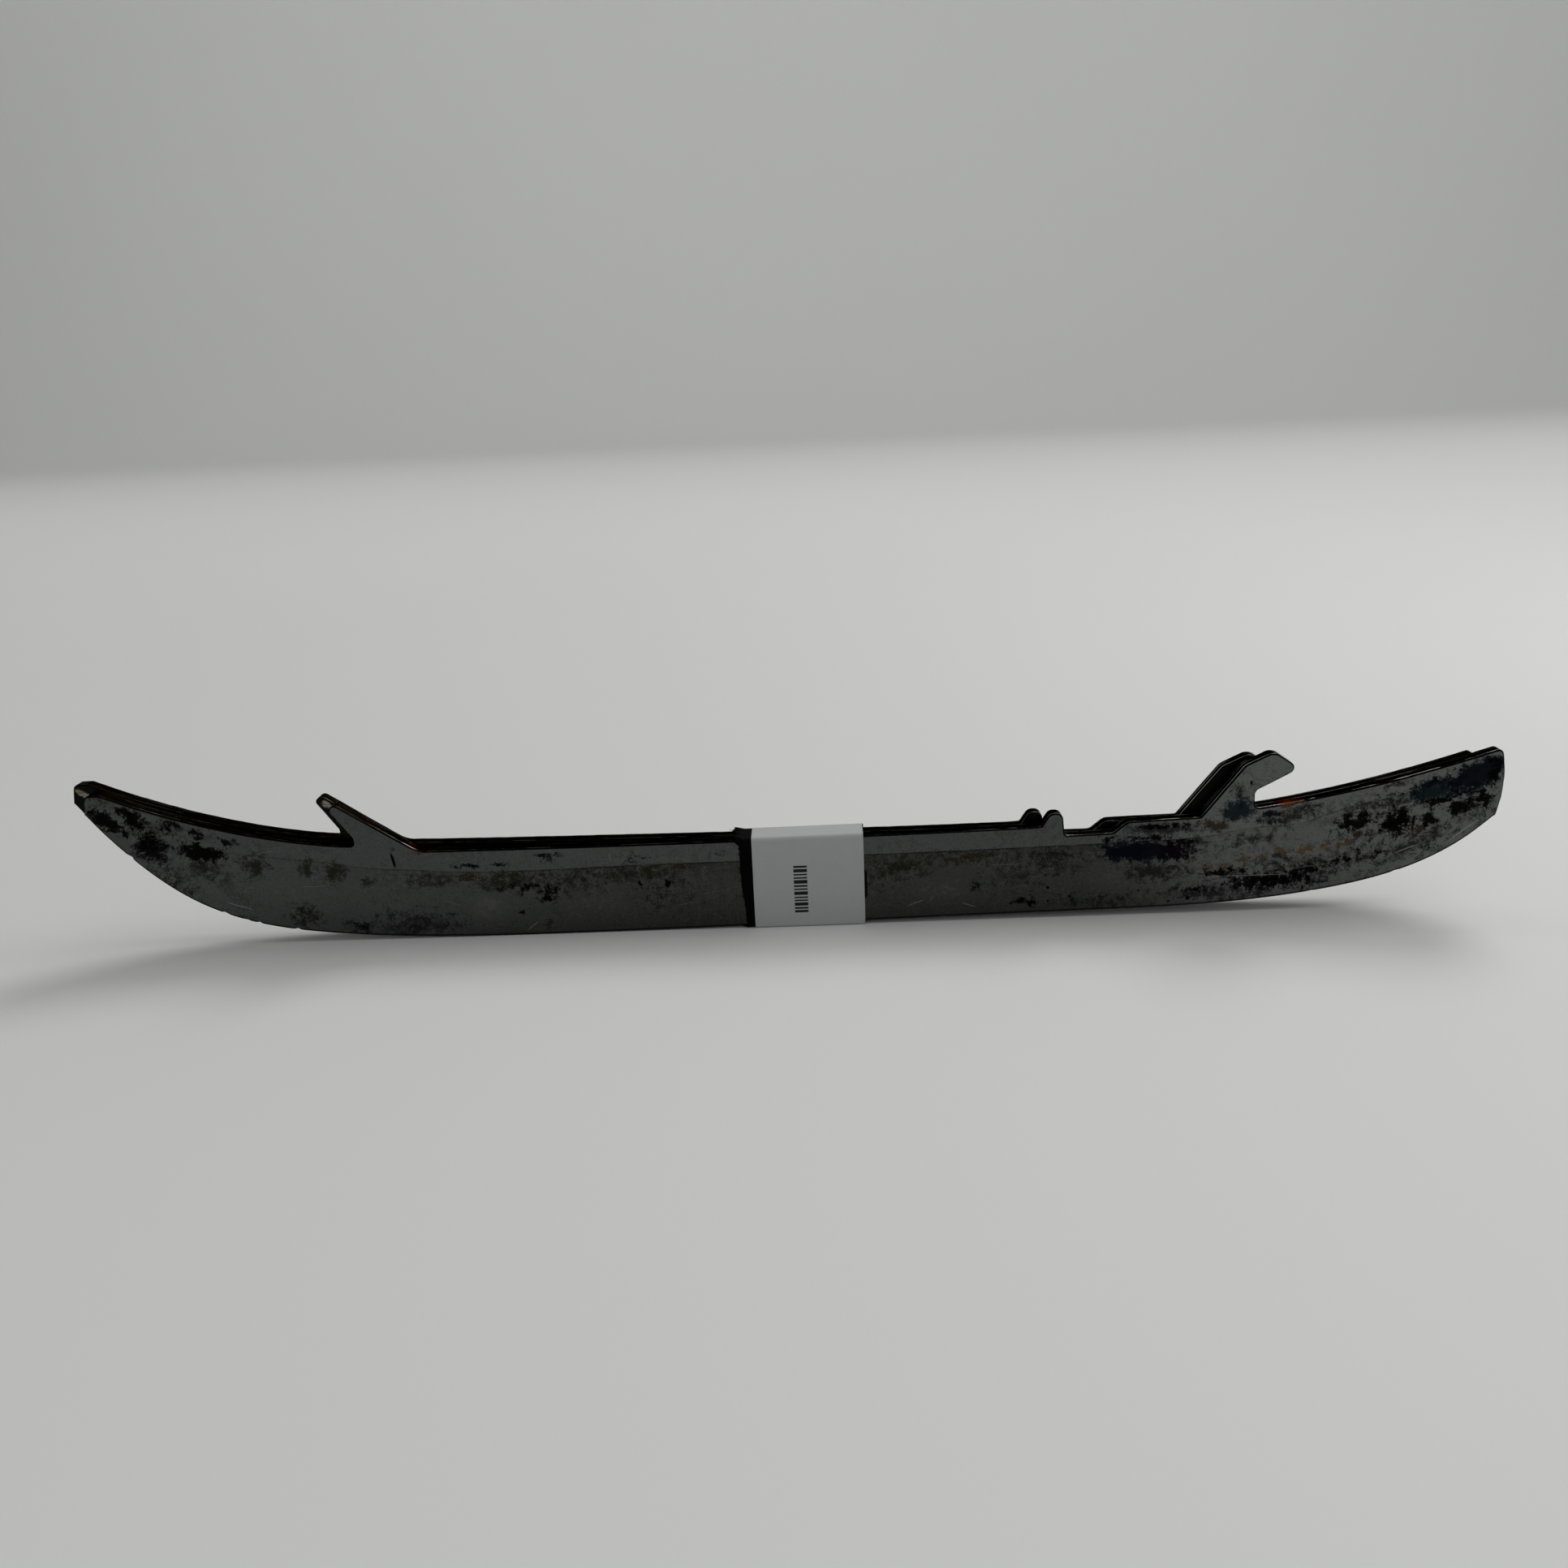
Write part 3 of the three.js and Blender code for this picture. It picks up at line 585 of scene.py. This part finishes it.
        redder = m.mul(redder, m.remap(z, 25.5, 23.5))
        rimcol = m.mix(m.mul(redder, .9), rimcol, (.085, .030, .012))
    geo = m.node("ShaderNodeTexCoord").outputs["Normal"]
    down = m.math("MULTIPLY", m.remap(m.sep(geo)[2], -.15, -.45), rimface)
    hollow = m.mix(m.remap(m.noise(m.comb(m.mul(x, .08), m.mul(y, 14.0), 0.0), 1.0, 4, .65), .3, .7), (.16, .16, .155), (.36, .36, .35))
    # a painted shade line just above the running edge
    under_edge = m.node("ShaderNodeFloatCurve")
    c = under_edge.mapping.curves[0]
    pts = [((a + 142) / 284, b / 40) for a, b in RUNNING_EDGE[::2] if a < 141]
    c.points[0].location, c.points[1].location = pts[0], pts[-1]
    for a in pts[1:-1]:
        c.points.new(*a)
    under_edge.mapping.update()
    m.put(under_edge.inputs["Value"], m.math("MULTIPLY_ADD", x, 1 / 284, .5))
    painted_edge_shade = m.remap(m.sub(z, m.mul(under_edge.outputs[0], 40.0)), .46, .26)
    col = m.mix(m.mul(painted_edge_shade, .85), col, (.006, .006, .006))
    col = m.mix(rimface, col, rimcol)
    col = m.mix(m.mul(down, .9), col, hollow)

    rough = m.math("MULTIPLY_ADD", covered, .14, .33)
    rough = m.add(rough, m.mul(m.sub(mid, .5), .24), m.mul(m.sub(ground, .5), .16))
    rough = m.math("SUBTRACT", rough, m.mul(scratch, .08))
    rough = m.math("ADD", rough, m.mul(rimface, m.math("MULTIPLY_ADD", along, .25, -.24)), clamp=True)
    rough = m.math("ADD", rough, m.mul(painted_highlight, rimface, .28), clamp=True)

    n = m.bump(m.add(m.mul(ground, .5), m.mul(fine, .5)), .35, .00004)
    m.surface(col, 1.0, rough, n, Specular_Tint=(.35, .35, .35, 1.0))
    return m.mat


# ------------------------------------------------------------------ runners
def runner(name, seed, nicks, material):
    top = top_outline()
    edge = spline(RUNNING_EDGE, 0.6)[::-1]
    loop = np.array(top + edge, float)
    n_top, n = len(top), len(loop)
    nxt, prv = np.roll(loop, -1, 0), np.roll(loop, 1, 0)
    d1, d2 = loop - prv, nxt - loop
    d1 /= np.linalg.norm(d1, axis=1)[:, None]
    d2 /= np.linalg.norm(d2, axis=1)[:, None]
    n1, n2 = np.stack([-d1[:, 1], d1[:, 0]], 1), np.stack([-d2[:, 1], d2[:, 0]], 1)
    normal = n1 + n2
    normal /= np.linalg.norm(normal, axis=1)[:, None]
    miter = np.clip(1 / np.maximum((normal * n1).sum(1), .2), 1, 1.5)
    corner = (d1 * d2).sum(1) < math.cos(math.radians(32))

    along = np.concatenate([[0], np.cumsum(np.linalg.norm(np.diff(loop, axis=0), axis=1))])
    ground = np.zeros(n)
    s = along[n_top:]
    ground[n_top:] = smoothstep(0, .9, s - along[n_top] + .05) * smoothstep(0, .9, along[-1] - s + .05)

    stations = [(0.0, -.014), (.03, .026), (.10, .098), (.19, .188), (.25, .240), (.31, .270),
                (.42, .282), (.9, .288), (1.5, .290), (2.1, .288), (2.58, .282), (2.69, .270),
                (2.75, .240), (2.81, .188), (2.90, .098), (2.97, .026), (3.0, -.014)]
    verts = []
    for yk, tk in stations:
        wear = 1 + .10 * value_noise(along[:n], seed + yk, 1.9) + .06 * value_noise(along[:n], seed + 9 + yk, .7)
        t_off = tk * np.where(abs(yk - 1.5) > 1.0, wear, 1.0)
        t_off = t_off + .012 * value_noise(along[:n], seed + 31, 6.0)
        hollow = -.095 * (1 - ((yk - 1.5) / 1.5) ** 2) + .006 * value_noise(along[:n], seed + 3, 3.0)
        off = t_off * (1 - ground) + hollow * ground
        # burrs and nicks in the running edge
        for (nx, depth, width, side) in nicks:
            near = 1 - smoothstep(.0, 1.1, yk if side == 0 else 3 - yk)
            bite = np.exp(-((loop[:, 0] - nx) / width) ** 2) * depth * near
            off = off - bite * (np.arange(n) >= n_top)
        q = loop + normal * (off * np.where(off > 0, miter, 1))[:, None]
        verts.append(np.stack([q[:, 0], np.full(n, yk), q[:, 1]], 1))
    rings = len(stations)
    faces = []
    for k in range(rings - 1):
        a, b = k * n, (k + 1) * n
        faces += [(a + i, a + (i + 1) % n, b + (i + 1) % n, b + i) for i in range(n)]
    rim_faces = len(faces)
    faces.append(tuple(range(n))[::-1])
    faces.append(tuple(range((rings - 1) * n, rings * n)))

    def sharp(a, b):
        ka, kb, ia, ib = a // n, b // n, a % n, b % n
        return ((ka == kb) & ((ka == 0) | (ka == rings - 1))) | ((ia == ib) & corner[ia])

    return make_mesh(name, np.vstack(verts), faces, material, (rim_faces, rim_faces + 1), sharp)


near_mat = steel("near_steel_worn", 0.0, False)
far_mat = steel("far_steel_worn", 213.0, True)

near_nicks = [(-132.5, .34, .35, 0), (-115.2, .30, .40, 0), (-111.1, .22, .30, 0),
              (-108.6, .26, .34, 0), (-100.9, .30, .42, 0), (-92.0, .10, .5, 1),
              (-44.0, .08, .4, 0), (31.0, .09, .5, 0), (74.0, .10, .4, 1), (104.5, .12, .4, 0),
              (121.0, .14, .5, 0), (-126.4, .16, .5, 1)]
far_nicks = [(-128.0, .22, .4, 0), (-97.0, .16, .5, 1), (-60.0, .10, .5, 1), (12.0, .09, .4, 1),
             (66.0, .12, .4, 1), (99.0, .16, .5, 1), (125.0, .2, .5, 1)]

near = runner("near_blade", 1.7, near_nicks, near_mat)
near.matrix_world = Matrix.Translation(Vector((OUTLINE_X0, PAIR_Y0, 0)) * MM)
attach(near, "near_runner_body")
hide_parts("near_runner")

far = runner("far_blade", 8.3, far_nicks, far_mat)
far.data.transform(Matrix.Translation(Vector(FAR_PLACE) * MM) @ Matrix.Rotation(FAR_TILT, 4, "Y"))
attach(far, "far_runner_body")
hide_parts("far_runner")


# ------------------------------------------------------------------ cloth tape
TAPE_T = 0.25
ROOF0, ROOF_SLOPE = 18.93, 0.0076          # inner roof of the wrap at X = -10, and its rise along X


def wrap_path(y0, y1, z0, z1, r, start, end, lift, step):
    """The middle line of a strip wound once round the pair, in [Y, Z], from `start` up the far
    side, over the top, down the near side, under the edges and up to `end`, where it lies `lift`
    further out over its own beginning."""
    pts = []

    def arc(cy, cz, a0, a1, rad):
        k = max(4, int(abs(a1 - a0) * rad / (step * .5)))
        for i in range(k + 1):
            a = a0 + (a1 - a0) * i / k
            pts.append((cy + rad * math.cos(a), cz + rad * math.sin(a)))

    pts.append((y1, start))
    arc(y1 - r, z1 - r, 0, math.pi / 2, r)
    arc(y0 + r, z1 - r, math.pi / 2, math.pi, r)
    arc(y0 + r * .5, z0 + r * .5, math.pi, 1.5 * math.pi, r * .5)
    arc(y1 - r * .5, z0 + r * .5, -math.pi / 2, 0, r * .5)
    pts.append((y1, start - 1.2))
    for i in range(1, 7):
        t = i / 6
        pts.append((y1 + lift * (t * t * (3 - 2 * t)), start - 1.2 + 1.1 * t))
    pts.append((y1 + lift, end))
    p = np.array(pts)
    s = np.concatenate([[0], np.cumsum(np.linalg.norm(np.diff(p, axis=0), axis=1))])
    keep = np.concatenate([[True], np.diff(s) > 1e-6])
    p, s = p[keep], s[keep]
    q = np.linspace(0, s[-1], int(s[-1] / step) + 1)
    return np.stack([np.interp(q, s, p[:, 0]), np.interp(q, s, p[:, 1])], 1), s[-1]


def strip_mesh(name, path, left, right, cols, thick, relief, material, shear):
    """A closed strip of cloth or paper along a path in YZ, spread along X between left(s) and
    right(s), with its outer skin raised by relief(s, x)."""
    m = len(path)
    d = np.gradient(path, axis=0)
    d /= np.linalg.norm(d, axis=1)[:, None]
    nrm = np.stack([d[:, 1], -d[:, 0]], 1)
    s = np.concatenate([[0], np.cumsum(np.linalg.norm(np.diff(path, axis=0), axis=1))])
    lx, rx = left(s, path), right(s, path)
    c = len(cols)
    X = lx[:, None] + (rx - lx)[:, None] * cols[None, :]
    S = np.repeat(s[:, None], c, 1)
    verts = []
    for side in (1, -1):
        h = side * thick / 2 + (relief(S, X, path) if side == 1 else relief(S, X, path) * .0 + relief_common(S, X, path, relief))
        Y = path[:, 0][:, None] + nrm[:, 0][:, None] * h
        Z = path[:, 1][:, None] + nrm[:, 1][:, None] * h
        Z = Z * (1 + shear * (X + 10) / 19)
        verts.append(np.stack([X, Y, Z], 2).reshape(-1, 3))
    verts = np.vstack(verts)
    o = m * c
    faces = []
    for i in range(m - 1):
        for j in range(c - 1):
            a = i * c + j
            faces.append((a, a + 1, a + c + 1, a + c))
            faces.append((o + a, o + a + c, o + a + c + 1, o + a + 1))
    skin = len(faces)
    for i in range(m - 1):
        a = i * c
        faces.append((a, a + c, o + a + c, o + a))
        a = i * c + c - 1
        faces.append((a, o + a, o + a + c, a + c))
    for j in range(c - 1):
        faces.append((j, o + j, o + j + 1, j + 1))
        a = (m - 1) * c + j
        faces.append((a, a + 1, o + a + 1, o + a))

    def sharp(a, b):
        ja, jb, ia, ib = a % o % c, b % o % c, a % o // c, b % o // c
        same = (a // o) == (b // o)
        rim = ((ja == jb) & ((ja == 0) | (ja == c - 1))) | ((ia == ib) & ((ia == 0) | (ia == m - 1)))
        return same & rim

    return make_mesh(name, verts, faces, material, (), sharp), s[-1]


def relief_common(S, X, path, relief):
    """The part of the relief that bends the whole strip and not only its outer skin."""
    return getattr(relief, "whole", lambda S, X, p: S * 0)(S, X, path)


tape_mat = Mat("black_cloth_tape")
p = tape_mat.object_mm()
x, y, z = tape_mat.sep(p)
run = tape_mat.add(z, y)                       # grows along the strip on every side of the wrap
warp = tape_mat.math("SINE", tape_mat.mul(x, 2 * math.pi / .40))
weft = tape_mat.math("SINE", tape_mat.mul(run, 2 * math.pi / .46))
weave = tape_mat.mul(warp, weft)
fuzz = tape_mat.noise(p, 9.0, 4, .7)
patch = tape_mat.noise(p, 1.2, 3, .6)
shade = tape_mat.add(tape_mat.mul(weave, .18), tape_mat.mul(tape_mat.sub(fuzz, .5), .8), tape_mat.mul(patch, .5))
tcol = tape_mat.mix(tape_mat.remap(shade, -.1, .8), (.0004, .0004, .0005), (.0035, .0035, .0040))
tape_mat.surface(tcol, 0.0, tape_mat.remap(fuzz, .3, .7, .78, .95), tape_mat.bump(
    tape_mat.add(weave, tape_mat.mul(fuzz, 1.5)), .6, .00003), Specular_IOR_Level=.04)

tape_path, tape_len = wrap_path(-.06 - TAPE_T / 2, 6.41 + TAPE_T / 2, .35 - TAPE_T / 2 + .005, ROOF0 + TAPE_T / 2,
                                .40, 8.0, 15.0, TAPE_T + .03, .12)


def jag(q, seed, scale, size):
    return size * (value_noise(q, seed, scale) * .6 + value_noise(q, seed + 5, scale * .4) * .4)


def tape_left(s, path):
    yy, zz = path[:, 0], path[:, 1]
    onnear = smoothstep(1.0, -.2, yy)
    x = -9.9 + onnear * (.20 + .9 * smoothstep(14, 0, zz) ** 1.2)
    on_top = smoothstep(17.6, 18.8, zz)
    x = x - on_top * .75
    return x + jag(s, 3, .55, .13) + on_top * jag(s, 13, .8, .55)


def tape_right(s, path):
    yy, zz = path[:, 0], path[:, 1]
    onnear = smoothstep(1.0, -.2, yy)
    bulge = smoothstep(4.8, 6.4, zz) * smoothstep(12.4, 10.8, zz)
    return 14.98 + onnear * bulge * .72 + (1 - onnear) * .35 + jag(s, 23, .6, .07)


def tape_relief(S, X, path):
    p1, p2 = .40, .46
    a, b = np.sin(2 * np.pi * X / p1), np.sin(2 * np.pi * S / p2)
    return .012 * a * b + tape_whole(S, X, path)


def tape_whole(S, X, path):
    """Curl of the torn left edge, mostly where the tape turns over the top."""
    zz = path[:, 1][:, None]
    yy = path[:, 0][:, None]
    top = smoothstep(18.2, 18.95, zz) * smoothstep(-.6, .3, yy) * smoothstep(7.2, 5.6, yy)
    out = np.clip(-8.7 - X, 0, 3)
    lift = top * out * (.30 + .25 * value_noise(S, 4, .9))
    side = (1 - top) * np.clip(-8.4 - X, 0, 2) * .05 * (1 + value_noise(S, 7, 1.3))
    ripple = .02 * value_noise(S + X * .3, 11, 2.2) * smoothstep(-7, -9, X)
    return lift + side + np.maximum(ripple, 0)


tape_relief.whole = tape_whole
fine_cols = np.linspace(0, 3.4, 32)
cols = np.concatenate([fine_cols, np.linspace(3.9, 24.2, 34), np.linspace(24.35, 25.4, 9)]) / 25.4
tape, tape_len = strip_mesh("tape_strip", tape_path, tape_left, tape_right, cols, TAPE_T - .03, tape_relief,
                            tape_mat.mat, ROOF_SLOPE)
for v in tape.data.vertices:
    v.co.z = max(v.co.z, .006 * MM)
tape.matrix_world = Matrix.Translation(Vector((OUTLINE_X0, PAIR_Y0, 0)) * MM)
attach(tape, "wrap_body")
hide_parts("tape_wrap")


def threads(name, material):
    """Loose ends of yarn along the tape's torn edge, as thin curled tubes."""
    verts, faces = [], []

    def tube(p0, direction, length, radius, curl):
        q, d = np.array(p0, float), np.array(direction, float)
        d /= np.linalg.norm(d)
        seg, sides = 9, 6
        base = len(verts)
        for i in range(seg + 1):
            up = np.array([0, .3, 1.0]) if abs(d[2]) < .9 else np.array([0, 1.0, 0])
            e1 = np.cross(d, up)
            e1 /= np.linalg.norm(e1)
            e2 = np.cross(d, e1)
            r = radius * (1 - .55 * (i / seg) ** 2)
            for k in range(sides):
                a = 2 * math.pi * k / sides
                verts.append(q + r * (math.cos(a) * e1 + math.sin(a) * e2))
            q = q + d * length / seg
            d = d + np.array([rng.uniform(-1, 1) * curl * .4, rng.uniform(-1, .6) * curl, rng.uniform(-1, 1) * curl])
            d /= np.linalg.norm(d)
            q[1] = min(q[1], -.12) if p0[1] < 0 else q[1]
        for i in range(seg):
            for k in range(sides):
                a, b = base + i * sides + k, base + i * sides + (k + 1) % sides
                faces.append((a, b, b + sides, a + sides))
        faces.append(tuple(range(base, base + sides))[::-1])
        faces.append(tuple(range(base + seg * sides, base + (seg + 1) * sides)))

    def place(s_at):
        s = np.concatenate([[0], np.cumsum(np.linalg.norm(np.diff(tape_path, axis=0), axis=1))])
        return (np.interp(s_at, s, tape_path[:, 0]), np.interp(s_at, s, tape_path[:, 1]), s)

    s_all = place(0)[2]
    lx = tape_left(s_all, tape_path)
    for _ in range(120):
        s_at = rng.uniform(0, s_all[-1] - .5)
        yy, zz = place(s_at)[:2]
        top = zz > 18.2
        if zz < 1.2 or not top and rng.random() < .45:
            continue
        x0 = float(np.interp(s_at, s_all, lx)) + .12
        out = -1.0 if not top else -.8
        normal = (-.25 if yy < 1 else (.25 if yy > 5.5 else 0))
        lift = rng.uniform(.15, .9) if top else rng.uniform(-.5, .5)
        y0, z0 = yy + (normal * .2), zz * (1 + ROOF_SLOPE * (x0 + 10) / 19) + (.05 if top else 0)
        tube((x0, y0, z0), (out, normal, lift), rng.uniform(.35, 1.5 if top else .75), rng.uniform(.035, .06), .35)
    return make_mesh(name, np.array(verts), faces, material)


yarn = threads("tape_loose_yarn", tape_mat.mat)
yarn.matrix_world = Matrix.Translation(Vector((OUTLINE_X0, PAIR_Y0, 0)) * MM)
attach(yarn, "wrap_body")

# ------------------------------------------------------------------ paper label
LABEL_T = 0.09
paper = Mat("label_paper_print")
p = paper.object_mm()
x, y, z = paper.sep(p)
fibre = paper.noise(p, 3.5, 5, .7)
cloud = paper.noise(p, .35, 3, .55)
col = paper.mix(cloud, (.400, .405, .408), (.440, .446, .450))
col = paper.mix(paper.mul(paper.remap(fibre, .35, .7), .25), col, (.49, .495, .49))
dirt = paper.math("MULTIPLY", paper.remap(paper.noise(p, 1.6, 4, .7), .60, .75), .18)
col = paper.mix(dirt, col, (.25, .245, .23))
# a bar code without any characters, on the near side only
BARS = [(2.35, zz, 1.35, hh) for zz, hh in
        ((13.0, .20), (12.15, .34), (11.3, .15), (10.6, .15), (9.75, .38), (8.85, .18), (8.15, .15), (7.3, .36),
         (6.4, .15), (5.75, .15), (4.95, .34), (4.1, .18), (3.4, .24))]
ink = None
for (bx, bz, w, h) in BARS:
    dx = paper.math("SUBTRACT", paper.math("ABSOLUTE", paper.sub(x, bx)), w)
    dz = paper.math("SUBTRACT", paper.math("ABSOLUTE", paper.sub(z, bz)), h)
    s = paper.remap(paper.math("MAXIMUM", dx, dz), .06, -.02)
    ink = s if ink is None else paper.math("MAXIMUM", ink, s)
ink = paper.mul(ink, paper.remap(y, .4, .2), paper.remap(fibre, .15, .4, .88, 1.0))
col = paper.mix(ink, col, (.004, .004, .006))
paper.surface(col, 0.0, paper.remap(fibre, .3, .7, .62, .80),
              paper.bump(paper.add(fibre, paper.mul(cloud, 2.0)), .35, .00003), Specular_IOR_Level=.3)

o = .06 + TAPE_T + .02
label_path, label_len = wrap_path(-o - LABEL_T / 2, 6.35 + o + LABEL_T / 2, LABEL_T / 2 + .003,
                                  ROOF0 + TAPE_T + .03 + LABEL_T / 2, .85, 4.5, 10.5, LABEL_T + .02, .16)
# the far side clears the tape's own overlap
bulge = TAPE_T + .03
far_side = smoothstep(3.0, 6.9, label_path[:, 0]) * smoothstep(5.0, 7.0, label_path[:, 1]) * smoothstep(17.5, 15.2, label_path[:, 1])
label_path[:, 0] += bulge * far_side


def label_left(s, path):
    return -7.15 + 0 * s + .02 * value_noise(s, 2, 4.0)


def label_right(s, path):
    return 15.15 + 0 * s + .02 * value_noise(s, 6, 4.0)


def label_relief(S, X, path):
    return label_whole(S, X, path)


def label_whole(S, X, path):
    """Slight waves of paper stuck on cloth, and edges that stand off a little."""
    zz, yy = path[:, 1][:, None], path[:, 0][:, None]
    front = smoothstep(1, -.3, yy)
    free = smoothstep(1.0, 4.0, zz) * smoothstep(18.4, 16.0, zz)
    wave = .012 * (1 + value_noise(X + 3 * value_noise(S, 5, 9), 8, 5.0)) * free
    edge = (np.exp(-(X + 7.15) / .5) * .05 + np.exp((X - 15.15) / .5) * .07) * free
    return wave + edge


label_relief.whole = label_whole
label, label_len = strip_mesh("label_band", label_path, label_left, label_right, np.linspace(0, 1, 90), LABEL_T,
                              label_relief, paper.mat, ROOF_SLOPE)
label.matrix_world = Matrix.Translation(Vector((OUTLINE_X0, PAIR_Y0, 0)) * MM)
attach(label, "wrap_body")
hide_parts("paper_label")

# ------------------------------------------------------------------ floor, backdrop, light
floor_mat = Mat("pale_sweep")
fp = floor_mat.node("ShaderNodeTexCoord").outputs["Object"]
cloud = floor_mat.noise(fp, 2.2, 3, .5)
fcol = floor_mat.mix(cloud, (.735, .740, .722), (.765, .770, .752))
floor_mat.surface(fcol, 0.0, .75, None, Specular_IOR_Level=.2)

prof = [(-4.0, 0.0), (-1.0, 0.0), (-.4, 0.0), (0.0, 0.0), (.7, 0.0)]
R, Y0 = .60, 1.40
for i in range(0, 25):
    a = -math.pi / 2 + math.pi / 2 * i / 24
    prof.append((Y0 + R * math.cos(a), R + R * math.sin(a)))
prof += [(Y0 + R, .95)]
sv, sf = [], []
for (py, pz) in prof:
    sv += [(-4000.0, py * 1000, pz * 1000), (4000.0, py * 1000, pz * 1000)]
for i in range(len(prof) - 1):
    sf.append((2 * i, 2 * i + 1, 2 * i + 3, 2 * i + 2))
sweep = make_mesh("sweep", sv, sf, floor_mat.mat)


def area(name, at, to, size, power, colour=(1, 1, 1)):
    l = bpy.data.lights.new(name, "AREA")
    l.shape, l.size, l.size_y, l.energy, l.color = "RECTANGLE", size[0], size[1], power, colour
    ob = bpy.data.objects.new(name, l)
    ob.location = at
    ob.rotation_mode = "QUATERNION"
    ob.rotation_quaternion = (Vector(to) - Vector(at)).to_track_quat("-Z", "Y")
    bpy.context.scene.collection.objects.link(ob)
    return ob


sun = bpy.data.lights.new("key_behind", "SUN")
sun.energy, sun.angle, sun.color = 1.03, math.radians(26), (1.0, .995, .975)
sun_ob = bpy.data.objects.new("key_behind", sun)
sun_ob.rotation_mode = "QUATERNION"
sun_ob.rotation_quaternion = (-Vector((.42, .72, .76))).to_track_quat("-Z", "Y")
bpy.context.scene.collection.objects.link(sun_ob)
area("soft_overhead", (.60, -.05, 1.45), (.45, .0, 0), (1.3, 1.0), 3.25, (1.0, .998, .985))
area("low_right", (.62, .04, .44), (.04, -.06, 0), (.34, .26), 1.05, (1.0, .998, .985))
area("front_fill", (-.25, -1.3, .75), (0, 0, 0), (1.2, .6), 1.05, (.98, .99, 1.0))
area("backdrop_wash", (.1, .75, 1.45), (.25, 2.0, .45), (3.0, .5), 9.6, (1.0, .998, .985))
world = bpy.data.worlds.new("studio")
world.use_nodes = True
bg = world.node_tree.nodes["Background"]
bg.inputs["Color"].default_value = (.96, .98, 1.0, 1)
bg.inputs["Strength"].default_value = .22
bpy.context.scene.world = world

# ------------------------------------------------------------------ camera
yaw, pitch, roll = -0.02787, 0.30639, -0.04447
fwd = Vector((math.sin(yaw) * math.cos(pitch), math.cos(yaw) * math.cos(pitch), -math.sin(pitch)))
right0 = Vector((math.cos(yaw), -math.sin(yaw), 0))
up0 = right0.cross(fwd)
right = right0 * math.cos(roll) + up0 * math.sin(roll)
up = -right0 * math.sin(roll) + up0 * math.cos(roll)
cam_data = bpy.data.cameras.new("camera")
cam_data.sensor_width, cam_data.sensor_height, cam_data.sensor_fit = 36.0, 36.0, "AUTO"
cam_data.lens = 1733.05 / 1932 * 36.0
cam_data.clip_start, cam_data.clip_end = .01, 50.0
cam = bpy.data.objects.new("camera", cam_data)
m = Matrix((right, up, -fwd)).transposed().to_4x4()
m.translation = Vector((8.838, -267.29, 113.956)) * MM
cam.matrix_world = m
bpy.context.scene.collection.objects.link(cam)
bpy.context.scene.camera = cam
bpy.context.scene.view_settings.view_transform = "Standard"
